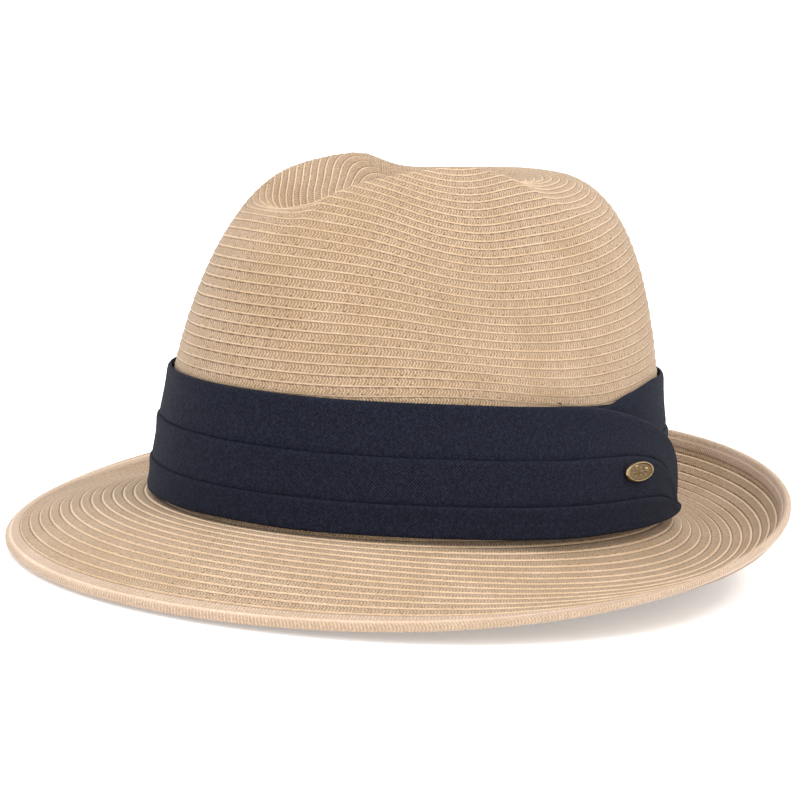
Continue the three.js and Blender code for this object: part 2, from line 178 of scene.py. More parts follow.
BADGE_AROUND, BADGE_HEIGHT = 107.2, 22.4
BADGE_LENGTH, BADGE_WIDTH = 18, 7.2
BADGE_STAND = 8.2
BADGE_RINGS, BADGE_SIDES = 30, 96
BADGE_FACE = 0.55  # height of the sunk field
BADGE_DOME = 0.1
BADGE_EDGE = ((0.955, 0.975, 0.99, 1.0, 1.0, 0.96), (0.72, 0.6, 0.42, 0.1, -0.5))  # shares, then heights
# Each ring of relief: its place as a share of the radius, its spread, its height and its repeats.
BADGE_RELIEF = (
    (0.9, 0.07, 0.42, 0),
    (0.74, 0.04, 0.05, 44),
    (0.38, 0.17, 0.1, 8),
    (0.0, 0.13, 0.2, 0),
)


# The camera turns about a point in the hat: metres and degrees, azimuth from the front.
CAMERA = {
    "azimuth": 48.28, "elevation": 8.17, "roll": 4.19, "distance": 0.931,
    "lens": 111.5, "shift_x": -0.01065, "shift_y": -0.02991, "target": (0, -0.00431, 0.04479),
}
STUDIO_LIGHTS = (  # name, azimuth, elevation, distance, size, power
    ("key", 42, 16, 1.6, 1.2, 3.6),
    ("rim_left", -60, 40, 1.5, 0.9, 0.5),
    ("fill_right", 112, 60, 1.5, 0.8, 12),
    ("top", -42, 70, 1.5, 0.6, 6),
)


# ---------------------------------------------------------------- small maths


def smooth(t):
    u = np.clip(t, 0, 1)
    return u * u * (3 - 2 * u)


def mix(a, b, t):
    return a + (b - a) * t


def unit(vectors):
    size = np.linalg.norm(vectors, axis=-1, keepdims=True)
    return vectors / np.maximum(size, 1e-12)


def harmonics(terms, angle):
    return sum(term * np.cos(order * angle) for order, term in enumerate(terms))


def wander(angle, seed):
    """A gentle unevenness round the hat, between about -1 and 1."""
    slow = np.sin(3 * angle + seed)
    middle = np.sin(7 * angle + 2.1 * seed)
    fast = np.sin(13 * angle + 3.7 * seed)
    return (slow + 0.6 * middle + 0.4 * fast) / 2


# ---------------------------------------------------------------- the hat's surfaces


def oval(angle, offset=0.0):
    across = HALF_WIDTH * (np.cos(angle) - EGG * np.cos(2 * angle))
    along = HALF_LENGTH * np.sin(angle)
    outward = unit(np.stack([along, -across], -1))
    x = HALF_WIDTH * np.sin(angle) * (1 - EGG * np.cos(angle)) + outward[..., 0] * offset
    y = -HALF_LENGTH * np.cos(angle) + outward[..., 1] * offset
    return x, y, outward


def crown_profile(angle):
    towards_back = smooth((1 - np.cos(angle)) / 2)
    ends = mix(SQUARENESS_FRONT, SQUARENESS_BACK, towards_back)
    exponent = mix(ends, SQUARENESS_SIDE, np.sin(angle) ** 2)
    return exponent, mix(TAPER_FRONT, TAPER_BACK, towards_back)


def blocked(points):
    """The open dome with its side pinches and centre crease pressed in."""
    x, y, z = points[..., 0], points[..., 1], points[..., 2]
    along = np.abs((y - PINCH["y"]) / PINCH["half_length"]) ** PINCH["exponent"]
    up = np.abs((z - PINCH["z"]) / PINCH["half_height"]) ** PINCH["exponent"]
    side = smooth((np.abs(x) - PINCH["fade_from"]) / PINCH["fade"])
    x = x - np.sign(x) * PINCH["depth"] * np.exp(-along - up) * side
    spread = smooth((y - CREASE["front"]) / CREASE["widening"])
    from_waist = (y - CREASE["waist_y"]) / CREASE["waist_half_length"]
    half_width = mix(CREASE["front_half_width"], CREASE["back_half_width"], spread)
    half_width = half_width - CREASE["waist"] * np.exp(-(from_waist**2))
    section = np.cos(np.pi / 2 * np.minimum(np.abs(x) / half_width, 1)) ** CREASE["roundness"]
    front = smooth((y - CREASE["front"]) / CREASE["front_run"])
    back = smooth((CREASE["back"] - y) / CREASE["back_run"])
    high = smooth((z - CREASE["fade_below"]) / CREASE["fade_run"])
    z = z - CREASE["depth"] * section * front * back * high
    beside = ((np.abs(x) - SHOULDER["x"]) / SHOULDER["half_width"]) ** 2
    lengthways = ((y - SHOULDER["y"]) / SHOULDER["half_length"]) ** 2
    z = z + SHOULDER["rise"] * np.exp(-beside - lengthways) * high
    return np.stack([x, y, z], -1)


def dome_point(angle, reach, share, inset):
    taper = crown_profile(angle)[1]
    x, y, _ = oval(angle, -inset)
    size = reach * (1 - taper * share)
    return np.stack(np.broadcast_arrays(x * size, y * size, (DOME_HEIGHT - inset) * share), -1)


def open_dome(angle, turn, inset=0.0):
    """turn runs from 0 at the headline to a quarter turn at the top centre."""
    exponent = crown_profile(angle)[0]
    return dome_point(angle, np.cos(turn) ** (2 / exponent), np.sin(turn) ** (2 / exponent), inset)


def crown_point(angle, turn, inset=0.0):
    return blocked(open_dome(angle, turn, inset))


def crown_outward(angle, turn, inset=0.0):
    step = 0.002
    held = np.clip(turn, 2 * step, np.pi / 2 - 2 * step)
    around = crown_point(angle + step, held, inset) - crown_point(angle - step, held, inset)
    up = crown_point(angle, held + step, inset) - crown_point(angle, held - step, inset)
    return unit(np.cross(around, up))


def wall_point(angle, z, stand):
    """A point at height z, standing off the crown's outer face (negative is inside the hat)."""
    exponent = crown_profile(angle)[0]
    share = np.maximum(z, 0) / (DOME_HEIGHT + stand)
    reach = (1 - share**exponent) ** (1 / exponent)
    return blocked(dome_point(angle, reach, share, -stand))


def wall_frame(around, z, stand):
    """Axes on the wall: x runs towards the back on the left side, y up and z outward."""
    angle, step = math.radians(around), 0.01
    back = unit(wall_point(angle + step, z, stand) - wall_point(angle - step, z, stand))
    up = unit(wall_point(angle, z + 1, stand) - wall_point(angle, z - 1, stand))
    out = unit(np.cross(back, up))
    up = np.cross(out, back)
    return wall_point(angle, z, stand), np.stack([back, up, out])


def brim_point(angle, along, lift):
    steps = 24
    x, y, outward = oval(angle, GAP)
    root = np.radians(harmonics(BRIM_ROOT, angle))
    edge = np.radians(harmonics(BRIM_EDGE, angle))

    def slope_at(share):
        return mix(root, edge, np.maximum(share, 0) ** SLOPE_GROWTH)

    out, up = 0, 0
    for i in range(steps):
        slope = slope_at((i + 0.5) / steps * along / BRIM_WIDTH)
        out = out + np.cos(slope) * along / steps
        up = up + np.sin(slope) * along / steps
    slope = slope_at(along / BRIM_WIDTH)
    out = out - np.sin(slope) * lift
    up = up + np.cos(slope) * lift
    return np.stack([x + outward[..., 0] * out, y + outward[..., 1] * out, up], -1)


# ---------------------------------------------------------------- meshes from grids of points


def make_mesh(name, points, faces, uvs=None):
    """A mesh object from points in millimetres. Points in the same place are welded together."""
    _, first, place = np.unique(
        np.round(points, 4), axis=0, return_index=True, return_inverse=True
    )
    place = place.reshape(-1)
    corners, corner_uvs = [], []
    for index, face in enumerate(faces):
        welded = place[np.asarray(face)].tolist()
        kept = [k for k in range(len(welded)) if welded[k] != welded[k - 1]]
        if len(kept) < 3:
            continue
        corners.append([welded[k] for k in kept])
        if uvs is not None:
            corner_uvs.extend(uvs[index][k] for k in kept)
    mesh = bpy.data.meshes.new(name)
    mesh.from_pydata((points[first] * MM).tolist(), [], corners)
    if uvs is not None:
        layer = mesh.uv_layers.new(name="rows")
        layer.data.foreach_set("uv", np.array(corner_uvs, np.float32).ravel())
    mesh.shade_smooth()
    mesh.validate()
    made = bpy.data.objects.new(name, mesh)
    bpy.context.scene.collection.objects.link(made)
    return made


def spiral_faces(columns, lines, shift):
    """Faces of a grid whose last column joins its first, shift lines further on."""
    i, j = np.meshgrid(np.arange(columns), np.arange(lines - 1), indexing="ij")
    moved = np.where(i == columns - 1, shift, 0)
    following = (i + 1) % columns * lines
    low = following + np.clip(j + moved, 0, lines - 1)
    high = following + np.clip(j + 1 + moved, 0, lines - 1)
    return np.stack([i * lines + j, low, high, i * lines + j + 1], -1).reshape(-1, 4)


def spiral_uvs(grid, marks, shift):
    """Along the braid in millimetres, counted on from row to row, and rows across it."""
    columns, lines = grid.shape[:2]
    size = len(marks)
    rows = (lines - 1) // size
    closing = np.clip(np.arange(lines) + shift, 0, lines - 1)
    full = np.concatenate([grid, grid[:1, closing]], 0)
    middle = full[:, np.arange(rows) * size + size // 2]
    steps = np.linalg.norm(np.diff(middle, axis=0), axis=-1).T
    order = np.arange(rows) if shift > 0 else np.arange(rows)[::-1]
    along = np.zeros((rows, columns + 1))
    start = 0
    for row in order:
        along[row] = start + np.concatenate([[0], np.cumsum(steps[row])])
        start = along[row, -1]
    labels = np.append((np.arange(rows)[:, None] + np.array(marks)).ravel(), rows)
    i, j = np.meshgrid(np.arange(columns), np.arange(lines - 1), indexing="ij")
    row = j // size
    left, right = along[row, i], along[row, i + 1]
    low, high = labels[j], labels[j + 1]
    corners = [(left, low), (right, low), (right, high), (left, high)]
    return np.stack([np.stack(corner, -1) for corner in corners], -2).reshape(-1, 4, 2)


def row_labels(rows, marks):
    return np.append((np.arange(rows + 1)[:, None] + np.array(marks)).ravel(), rows + 1)


def row_relief(rows, heights):
    return np.append(np.tile(heights, rows + 1), 0.0)


def outline_faces(columns, size, closed):
    """Faces joining one closed outline of size points in each column."""
    faces = []
    for i in range(columns if closed else columns - 1):
        following = (i + 1) % columns
        for j in range(size):
            across = (j + 1) % size
            faces.append([i * size + j, following * size + j, following * size + across, i * size + across])
    if not closed:
        faces.append(list(range(size)))
        faces.append([(columns - 1) * size + j for j in reversed(range(size))])
    return faces


def outline_uvs(grid, closed):
    """Millimetres along the columns and round the outline."""
    columns, size = grid.shape[:2]
    around = np.concatenate([grid, grid[:1]], 0) if closed else grid
    along = np.concatenate([[0], np.cumsum(np.linalg.norm(np.diff(around[:, 0], axis=0), axis=-1))])
    loop = np.concatenate([grid, grid[:, :1]], 1)
    steps = np.linalg.norm(np.diff(loop, axis=1), axis=-1).mean(0)
    across = np.concatenate([[0], np.cumsum(steps)])
    uvs = []
    for i in range(columns if closed else columns - 1):
        for j in range(size):
            left, right = along[i], along[i + 1]
            low, high = across[j], across[j + 1]
            uvs.append([(left, low), (right, low), (right, high), (left, high)])
    if not closed:
        uvs.append([(along[0], across[j]) for j in range(size)])
        uvs.append([(along[-1], across[j]) for j in reversed(range(size))])
    return uvs


def outline_mesh(name, grid, closed):
    """A solid swept along the columns of a grid of outlines."""
    columns, size = grid.shape[:2]
    faces = outline_faces(columns, size, closed)
    return make_mesh(name, grid.reshape(-1, 3), faces, outline_uvs(grid, closed))


def finish_piece(piece, body, material, replaced=()):
    """Gives a piece its material, slot and body, and takes the CAD nodes' place."""
    piece.data.materials.append(material)
    if replaced:
        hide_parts(*replaced)
    if isinstance(body, str):
        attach(piece, body)
    return piece


# ---------------------------------------------------------------- materials


class Graph:
    """Shorthand for building a material's nodes."""

    def __init__(self, name):
        self.material = bpy.data.materials.new(name)
        self.material.use_nodes = True
        self.tree = self.material.node_tree
        self.shader = self.tree.nodes["Principled BSDF"]

    def node(self, kind, **settings):
        made = self.tree.nodes.new(kind)
        for key, value in settings.items():
            setattr(made, key, value)
        return made

    def feed(self, socket, value):
        if isinstance(value, bpy.types.NodeSocket):
            self.tree.links.new(value, socket)
        else:
            socket.default_value = value

    def math(self, operation, *values):
        made = self.node("ShaderNodeMath", operation=operation)
        for socket, value in zip(made.inputs, values):
            self.feed(socket, value)
        return made.outputs[0]

    def add(self, a, b):
        return self.math("ADD", a, b)

    def times(self, a, b):
        return self.math("MULTIPLY", a, b)

    def step(self, value, low, high):
        made = self.node("ShaderNodeMapRange", interpolation_type="SMOOTHSTEP")
        for name, given in (("Value", value), ("From Min", low), ("From Max", high)):
            self.feed(made.inputs[name], given)
        return made.outputs["Result"]

    def wave(self, phase):
        """0 to 1 and back, once for each whole number of phase."""
        turned = self.times(phase, FULL_TURN)
        return self.math("MULTIPLY_ADD", self.math("COSINE", turned), 0.5, 0.5)

    def noise(self, scale, detail=2.0, vector=None, along=None):
        made = self.node("ShaderNodeTexNoise", noise_dimensions="1D" if along is not None else "3D")
        made.inputs["Scale"].default_value = scale
        made.inputs["Detail"].default_value = detail
        if along is not None:
            self.feed(made.inputs["W"], along)
        else:
            self.feed(made.inputs["Vector"], vector or self.place())
        return made.outputs[0]

    def place(self):
        return self.node("ShaderNodeTexCoord").outputs["Object"]

    def rows(self):
        split = self.node("ShaderNodeSeparateXYZ")
        self.feed(split.inputs[0], self.node("ShaderNodeUVMap", uv_map="rows").outputs[0])
        return split.outputs[0], split.outputs[1]

    def blend(self, factor, a, b):
        made = self.node("ShaderNodeMix", data_type="RGBA")
        for socket, value in ((made.inputs[0], factor), (made.inputs[6], a), (made.inputs[7], b)):
            self.feed(socket, value)
        return made.outputs[2]

    def bump(self, height, distance, strength=1.0):
        made = self.node("ShaderNodeBump")
        made.inputs["Distance"].default_value = distance * MM
        made.inputs["Strength"].default_value = strength
        self.feed(made.inputs["Height"], height)
        self.feed(self.shader.inputs["Normal"], made.outputs[0])

    def set(self, **values):
        for name, value in values.items():
            self.feed(self.shader.inputs[name.replace("_", " ")], value)


def straw_material(name, pale, deep, shade, plait, holes):
    """Plaited paper straw: herringbone strokes, a smooth bright selvedge, a few open stitches and a painted
    shadow line between rows.
    """
    stroke, stitch = 1.15, 5.0
    graph = Graph(name)
    along, across = graph.rows()
    t = graph.math("FRACT", across)
    row = graph.math("FLOOR", across)
    lean = graph.times(t, 1.6)
    length = graph.times(along, 1 / stroke)
    right = graph.wave(graph.add(length, lean))
    left = graph.wave(graph.math("SUBTRACT", length, lean))
    upper = graph.step(t, 0.56, 0.62)
    strokes = graph.math("MULTIPLY_ADD", graph.math("SUBTRACT", right, left), upper, left)
    body = graph.times(graph.step(t, 0.13, 0.22), graph.math("SUBTRACT", 1.0, graph.step(t, 0.9, 0.97)))
    relief = graph.times(strokes, body)
    stitches = graph.add(along, graph.times(row, 1.9))  # each row's stitches start further on
    spot = graph.math("ABSOLUTE", graph.math("WRAP", stitches, stitch / 2, -stitch / 2))
    near = graph.math("ABSOLUTE", graph.math("SUBTRACT", t, 0.25))
    flat_spot = graph.math("POWER", graph.times(spot, 0.7), 2.0)
    distance = graph.math("SQRT", graph.add(flat_spot, graph.math("POWER", graph.times(near, 4.0), 2.0)))
    pinhole = graph.math("SUBTRACT", 1.0, graph.step(distance, 0.12, 0.5))
    loose = graph.step(graph.noise(90.0, 1.0), 0.38, 0.56)
    pinhole = graph.times(pinhole, graph.times(loose, holes))
    dash = graph.math("SUBTRACT", 1.0, graph.step(spot, 0.9, 1.4))
    open_patch = graph.step(graph.noise(22.0, 1.0), 0.46, 0.56)
    dash = graph.times(dash, graph.times(graph.step(t, 0.84, 0.9), open_patch))
    pinhole = graph.math("MAXIMUM", pinhole, graph.times(dash, holes))
    # painted shadow: a dark line along the step between one braid row and the next
    row_gap_shadow = graph.add(graph.step(t, 0.91, 0.97), graph.math("SUBTRACT", 1.0, graph.step(t, 0.0, 0.03)))
    patch = graph.noise(38.0, 2.0)
    lot = graph.noise(0.05, 3.0, along=along)
    faded = graph.step(graph.add(graph.times(patch, 0.6), graph.times(lot, 0.4)), 0.35, 0.65)
    light = graph.blend(faded, pale, deep)
    strand = graph.noise(1300.0, 2.0)
    amount = graph.times(graph.math("SUBTRACT", 1.0, strokes), plait)
    amount = graph.times(graph.add(amount, 0.16), body)
    amount = graph.add(amount, graph.times(graph.math("SUBTRACT", strand, 0.42), 1.3))
    colour = graph.blend(graph.math("MAXIMUM", amount, 0.0), light, shade)
    # the open stitches are real dark holes; the line between rows is painted shadow
    dark = graph.math("MAXIMUM", graph.times(pinhole, 0.85), graph.times(row_gap_shadow, 0.75))
    colour = graph.blend(dark, colour, (0.16, 0.09, 0.045, 1))
    graph.set(Base_Color=colour, Roughness=0.7)
    graph.shader.inputs["Specular IOR Level"].default_value = 0.25
    graph.shader.inputs["Sheen Weight"].default_value = 0.2
    graph.shader.inputs["Sheen Roughness"].default_value = 0.5
    height = graph.add(graph.math("SUBTRACT", relief, pinhole), graph.times(strand, 0.5))
    graph.bump(height, 0.4)
    return graph.material


def cloth_material(name, dark, light, pitch):
    """Closely woven cloth: fine diagonal lines and paler specks, with a soft sheen."""
    graph = Graph(name)
    along, across = graph.rows()
    diagonal = graph.wave(graph.times(graph.add(along, across), 0.7 / pitch))
    counter = graph.wave(graph.times(graph.math("SUBTRACT", along, across), 0.7 / pitch))
    speck = graph.noise(1100.0, 2.0)
    weave = graph.add(graph.times(diagonal, 0.6), graph.times(counter, 0.4))
    amount = graph.times(graph.step(graph.add(graph.times(weave, 0.5), speck), 0.6, 1.1), 0.9)
    graph.set(Base_Color=graph.blend(amount, dark, light), Roughness=0.9)
    graph.shader.inputs["Sheen Weight"].default_value = 0.03
    graph.shader.inputs["Sheen Roughness"].default_value = 0.4
    graph.shader.inputs["Sheen Tint"].default_value = (0.55, 0.6, 0.75, 1)
    graph.shader.inputs["Specular IOR Level"].default_value = 0.12
    graph.bump(graph.add(weave, graph.times(speck, 0.6)), 0.15)
    return graph.material


def ribbed_material(name, dark, light, pitch):
    """Grosgrain ribbon: close ribs across its length."""
    graph = Graph(name)
    along, _ = graph.rows()
    rib = graph.wave(graph.times(along, 1 / pitch))
    speck = graph.noise(1500.0, 2.0)
    amount = graph.times(graph.add(graph.times(rib, 0.6), graph.times(speck, 0.5)), 0.9)
    graph.set(Base_Color=graph.blend(amount, dark, light), Roughness=0.8)
    graph.bump(rib, 0.2)
    return graph.material


def thread_material(name, colour, shade):
    graph = Graph(name)
    ply = graph.noise(2500.0, 1.0)
    graph.set(Base_Color=graph.blend(graph.step(ply, 0.35, 0.65), colour, shade), Roughness=0.7)
    graph.bump(ply, 0.08)
    return graph.material


def brass_material(name):
    """Antiqued brass: bright where it is raised and rubbed, dark in the hollows."""
    graph = Graph(name)
    hollow = graph.node("ShaderNodeNewGeometry").outputs["Pointiness"]
    grain = graph.noise(1800.0, 3.0)
    rubbed = graph.step(graph.add(hollow, graph.times(grain, 0.08)), 0.53, 0.62)
    colour = graph.blend(rubbed, (0.12, 0.075, 0.03, 1), (0.6, 0.46, 0.25, 1))
    roughness = graph.math("MULTIPLY_ADD", grain, 0.25, 0.25)
    graph.set(Base_Color=colour, Roughness=roughness)
    graph.shader.inputs["Metallic"].default_value = 1.0
    graph.bump(grain, 0.06)
    return graph.material


def floor_material():
    graph = Graph("pale_floor")
    grain = graph.noise(3.0, 2.0)
    graph.set(Base_Color=graph.blend(grain, (0.95, 0.95, 0.95, 1), (0.97, 0.97, 0.97, 1)), Roughness=0.95)
    graph.shader.inputs["Specular IOR Level"].default_value = 0.1
    graph.shader.inputs["Emission Color"].default_value = (1, 1, 1, 1)
    graph.shader.inputs["Emission Strength"].default_value = 0.3
    return graph.material


# ---------------------------------------------------------------- straw pieces


def row_density(points):
    """The braid rows lie closer together at the pinches."""
    along = np.abs((points[..., 1] - GATHER["y"]) / GATHER["half_length"]) ** 2.2
    return 1 + GATHER["amount"] * np.exp(-along) * smooth((points[..., 2] - GATHER["z"]) / GATHER["run"])


def crown_lines(marks, heights, inset, outward):
    """The spiral grid of braid rows on the crown, from the headline to the top centre."""
    labels = row_labels(CROWN_ROWS, marks)
    relief = row_relief(CROWN_ROWS, heights)
    share_round = np.arange(CROWN_COLUMNS) / CROWN_COLUMNS
    angle = np.pi + FULL_TURN * share_round
    turns = np.linspace(0, np.pi / 2, 500)
    dome = open_dome(angle[:, None], turns[None, :])
    steps = np.linalg.norm(np.diff(dome, axis=1), axis=-1) * row_density(dome[:, 1:])
    length = np.concatenate([np.zeros((CROWN_COLUMNS, 1)), np.cumsum(steps, 1)], 1)
    share = length / length[:, -1:]
    sag = ROW_SAG[0] * np.cos(angle) + ROW_SAG[1] * np.cos(2 * angle)
    share = share + 4 * share * (1 - share) * sag[:, None]
    label = labels[None, :] + share_round[:, None] - 1
    wanted = np.clip(label / CROWN_ROWS, 0, 1)
    turn = np.stack([np.interp(wanted[i], share[i], turns) for i in range(CROWN_COLUMNS)])
    angle = np.broadcast_to(angle[:, None], turn.shape)
    fade = smooth(label) * smooth((CROWN_ROWS - label) / 1.5)
    uneven = 1 + 0.15 * np.sin(9 * angle + 1.7 * np.round(label))
    lift = relief[None, :] * fade * uneven
    place = crown_point(angle, turn, inset)
    return place + outward * lift[..., None] * crown_outward(angle, turn, inset)


def rim_faces(columns, first_lines, second_lines, second_start):
    """Faces between the first lines of two grids."""
    i = np.arange(columns)
    following = (i + 1) % columns
    return np.stack([
        i * first_lines, second_start + i * second_lines,
        second_start + following * second_lines, following * first_lines,
    ], -1)


def make_crown(material):
    outer = crown_lines(ROW_MARKS, ROW_HEIGHTS, 0.0, 1)
    inner = crown_lines(BACK_MARKS, BACK_HEIGHTS, STRAW, -1)
    columns, outer_lines = outer.shape[:2]
    inner_lines = inner.shape[1]
    outer_faces = spiral_faces(columns, outer_lines, len(ROW_MARKS))
    inner_faces = spiral_faces(columns, inner_lines, len(BACK_MARKS))[:, ::-1] + columns * outer_lines
    rim = rim_faces(columns, outer_lines, inner_lines, columns * outer_lines)
    uvs = np.concatenate([
        spiral_uvs(outer, ROW_MARKS, len(ROW_MARKS)),
        spiral_uvs(inner, BACK_MARKS, len(BACK_MARKS))[:, ::-1],
        np.zeros((len(rim), 4, 2)),
    ])
    points = np.concatenate([outer.reshape(-1, 3), inner.reshape(-1, 3)])
    faces = np.concatenate([outer_faces, inner_faces, rim])
    crown = make_mesh("crown_braid", points, faces, uvs)
    return finish_piece(crown, "hat", material, ["crown"])


def brim_lines(marks, heights, lift, outward):
    labels = row_labels(BRIM_ROWS, marks)
    relief = row_relief(BRIM_ROWS, heights)
    share_round = np.arange(BRIM_COLUMNS) / BRIM_COLUMNS
    angle = np.pi + FULL_TURN * share_round
    label = np.clip(labels[None, :] - share_round[:, None], 0, BRIM_ROWS)
    along = mix(-BRIM_TUCK, BRIM_WIDTH - GAP, label / BRIM_ROWS)
    angle = np.broadcast_to(angle[:, None], along.shape)
    fade = smooth(label / 0.5) * smooth((BRIM_ROWS - label) / 0.4)
    uneven = 1 + 0.15 * np.sin(9 * angle + 1.7 * np.round(label))
    return brim_point(angle, along, lift + outward * relief[None, :] * fade * uneven)


def make_brim(material):
    top = brim_lines(BRIM_MARKS, ROW_HEIGHTS[::-1], 0.0, 1)
    under = brim_lines(UNDER_MARKS, UNDER_HEIGHTS, -STRAW, -1)
    top_shift, under_shift = -len(BRIM_MARKS), -len(UNDER_MARKS)
    columns, top_lines = top.shape[:2]
    under_lines = under.shape[1]
    start = columns * top_lines
    faces = [
        spiral_faces(columns, top_lines, top_shift)[:, ::-1],
        spiral_faces(columns, under_lines, under_shift) + start,
        rim_faces(columns, top_lines, under_lines, start),
    ]
    edge = rim_faces(columns, top_lines, under_lines, start)[:, ::-1].copy()
    edge[:, [0, 3]] += top_lines - 1
    edge[:, [1, 2]] += under_lines - 1
    faces.append(edge)
    top_uvs = spiral_uvs(top, BRIM_MARKS, top_shift)[:, ::-1]
    under_uvs = spiral_uvs(under, UNDER_MARKS, under_shift)
    for uvs in (top_uvs, under_uvs):
        uvs[..., 1] = BRIM_ROWS + 1 - uvs[..., 1]
    uvs = np.concatenate([top_uvs, under_uvs, np.zeros((2 * columns, 4, 2))])
    points = np.concatenate([top.reshape(-1, 3), under.reshape(-1, 3)])
    brim = make_mesh("brim_braid", points, np.concatenate(faces), uvs)
    finish_piece(brim, None, material, ["brim_rear", "brim_front"])
    fold_front(brim)
    return brim


def fold_front(piece):
    """Bakes the piece's placing into its mesh; the front of the brim is not bent."""
    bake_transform(piece)


def make_edge_row(material):
    """The doubled last row, folded round the brim's edge."""
    angle = FULL_TURN * np.arange(BRIM_COLUMNS) / BRIM_COLUMNS
    outlines = [brim_point(angle, np.full_like(angle, along), lift) for along, lift in EDGE_SECTION[::-1]]
    row = outline_mesh("edge_row_braid", np.stack(outlines, 1), closed=True)
    for corner in row.data.uv_layers["rows"].data:
        corner.uv.y = EDGE_BRAID_MIDDLE + EDGE_BRAID_SPREAD * math.sin(corner.uv.y)
    finish_piece(row, None, material, ["edge_row_rear", "edge_row_front"])
    fold_front(row)
    return row


# ---------------------------------------------------------------- the cloth band


def band_top(angle):
    from_front = np.degrees(np.arccos(np.cos(angle)))
    rise = REAR_RISE * smooth((from_front - REAR_RISE_FROM) / REAR_RISE_RUN)
    return band_low[2] + BAND_HEIGHT + rise


def tongue_top(around):
    along = np.clip((around - TONGUE_START) / (TONGUE_TIP - TONGUE_START), 0, 1)
    fall = (1 - along**TONGUE_ROUNDNESS) ** (1 / TONGUE_ROUNDNESS)
    highest = band_top(math.radians(TONGUE_START)) - TONGUE_EDGE_DROP
    return mix(band_low[2] + TONGUE_TIP_HEIGHT, highest, fall)


def strip_top(around):
    """The top edge of the whole strip, from its hidden end to the tongue's tip."""
    drop = TONGUE_EDGE_DROP * smooth((around - 60) / 30)
    dip = UNDER_DIP * (1 - smooth((around + 360 - UNDER_DIP_FROM) / UNDER_DIP_RUN))
    on_ring = band_top(np.radians(around)) - drop - dip
    return np.where(around < TONGUE_START, on_ring, tongue_top(around))


def pleat_heights(around, top):
    """Where the pleats' top edges run, and the band's bottom edge last."""
    bottom = band_low[2]
    height = strip_top(np.minimum(around, TONGUE_START)) - bottom
    past = np.clip((around - TONGUE_START) / 40, 0, 1)
    lines = [top]
    for share, (power, bend) in zip(PLEAT_LINES[1:], TONGUE_LINE_FALLS):
        line = bottom + height * share * (1 - past**power) ** bend
        lines.append(np.minimum(line, mix(bottom, lines[-1], 0.7)))
    return lines + [np.full_like(around, bottom)]


def band_outline(around, top):
    """Heights and stands of the pleated cloth's section, one column for each place along it."""
    angle = np.radians(around)
    lift = TONGUE_LIFT * smooth((around - 50) / 44)
    tucked = smooth((around + 360 - UNDER_START) / 16)
    lines = pleat_heights(around, top)
    heights, stands = [lines[-1] + 0.6], [lift + BAND_BACK]
    for pleat in reversed(range(len(PLEAT_LINES))):
        upper, lower = lines[pleat], lines[pleat + 1]
        full = smooth((upper - lower) / PLEAT_FULL)
        uneven = 1 + 0.22 * wander(angle, 1.3 + pleat)
        for mark, swell in zip(reversed(PLEAT_MARKS), reversed(PLEAT_SWELL)):
            line = 0.35 * wander(angle, 4.2 + pleat) * full * smooth(2 - 2 * mark) * min(pleat, 1)
            heights.append(mix(lower, upper, mark) + line)
            stand = BAND_BASE + PLEAT_STEP * pleat + swell * full * uneven
            stands.append(lift + mix(BAND_BACK + 0.4, stand, tucked))
    heights.append(mix(lines[1], top, 0.99))
    stands.append(lift + BAND_BACK)
    for share in (0.66, 0.33):
        heights.append(mix(band_low[2], top, share))
        stands.append(lift + BAND_BACK - 0.1)
    return angle, np.stack(heights, 1), np.stack(stands, 1)


def make_band(material):
    """One pleated strip: from its hidden end, round the back, right side and front, to the tongue."""
    around = np.concatenate([
        np.linspace(UNDER_START - 360, 80, 330, endpoint=False),
        80 + (TONGUE_TIP - 80) * np.sin(np.linspace(0, np.pi / 2, 70)),
    ])
    angle, heights, stands = band_outline(around, strip_top(around))
    grid = wall_point(np.broadcast_to(angle[:, None], heights.shape), heights, stands)
    band = outline_mesh("band_cloth", grid, closed=False)
    return finish_piece(band, "hat", material, ["hatband", "hatband_tongue"])


def strip_outline(angle, bottom, top, stand, thickness, steps):
    """The section of a flat strip on the wall, with a rounded top and bottom edge."""
    heights, stands = [], []
    for share in np.linspace(0.01, 0.99, steps):
        heights.append(mix(bottom, top, share))
        stands.append(stand + thickness)
    heights.append(top + 0 * angle)
    stands.append(stand + thickness / 2)
    for share in np.linspace(0.99, 0.01, steps):
        heights.append(mix(bottom, top, share))
        stands.append(stand)
    heights.append(bottom + 0 * angle)
    stands.append(stand + thickness / 2)
    heights = np.stack([h + 0 * angle for h in heights], 1)
    stands = np.stack([s + 0 * angle for s in stands], 1)
    return wall_point(np.broadcast_to(angle[:, None], heights.shape), heights, stands)


def make_backing(material):
    low, _ = box_mm("hatband_backing")
    angle = FULL_TURN * np.arange(200) / 200
    top = band_top(angle) - (low[2] - band_low[2])
    grid = strip_outline(angle, low[2], top, GAP, 0.6, 8)
    backing = outline_mesh("band_backing", grid, closed=True)
    return finish_piece(backing, "hat", material, ["hatband_backing"])


def make_tongue_lining(material):
    around = np.linspace(TONGUE_START - 4, TONGUE_TIP, 60)
    share = (around - around[0]) / (around[-1] - around[0])
    shown = np.radians(around + LINING_REACH * share)
    top = tongue_top(around)
    grid = strip_outline(shown, band_low[2] + 0.4, top - 0.3, LINING_STAND, LINING_THICKNESS, 8)
    lining = outline_mesh("tongue_lining_cloth", grid, closed=False)
    return finish_piece(lining, "hat", material, ["tongue_lining"])


# ---------------------------------------------------------------- inside the hat


def make_sweatband(material):
    angle = FULL_TURN * np.arange(240) / 240
    top = sweat_high[2] - 0.3 + 0.3 * wander(angle, 2.2)
    thickness = 1.0 + 0.1 * wander(angle, 5.1)
    inset = STRAW + GAP + 1.15
    grid = strip_outline(angle, sweat_low[2], top, -inset, thickness, 10)
    sweatband = outline_mesh("sweatband_ribbon", grid, closed=True)
    return finish_piece(sweatband, "hat", material, ["sweatband"])


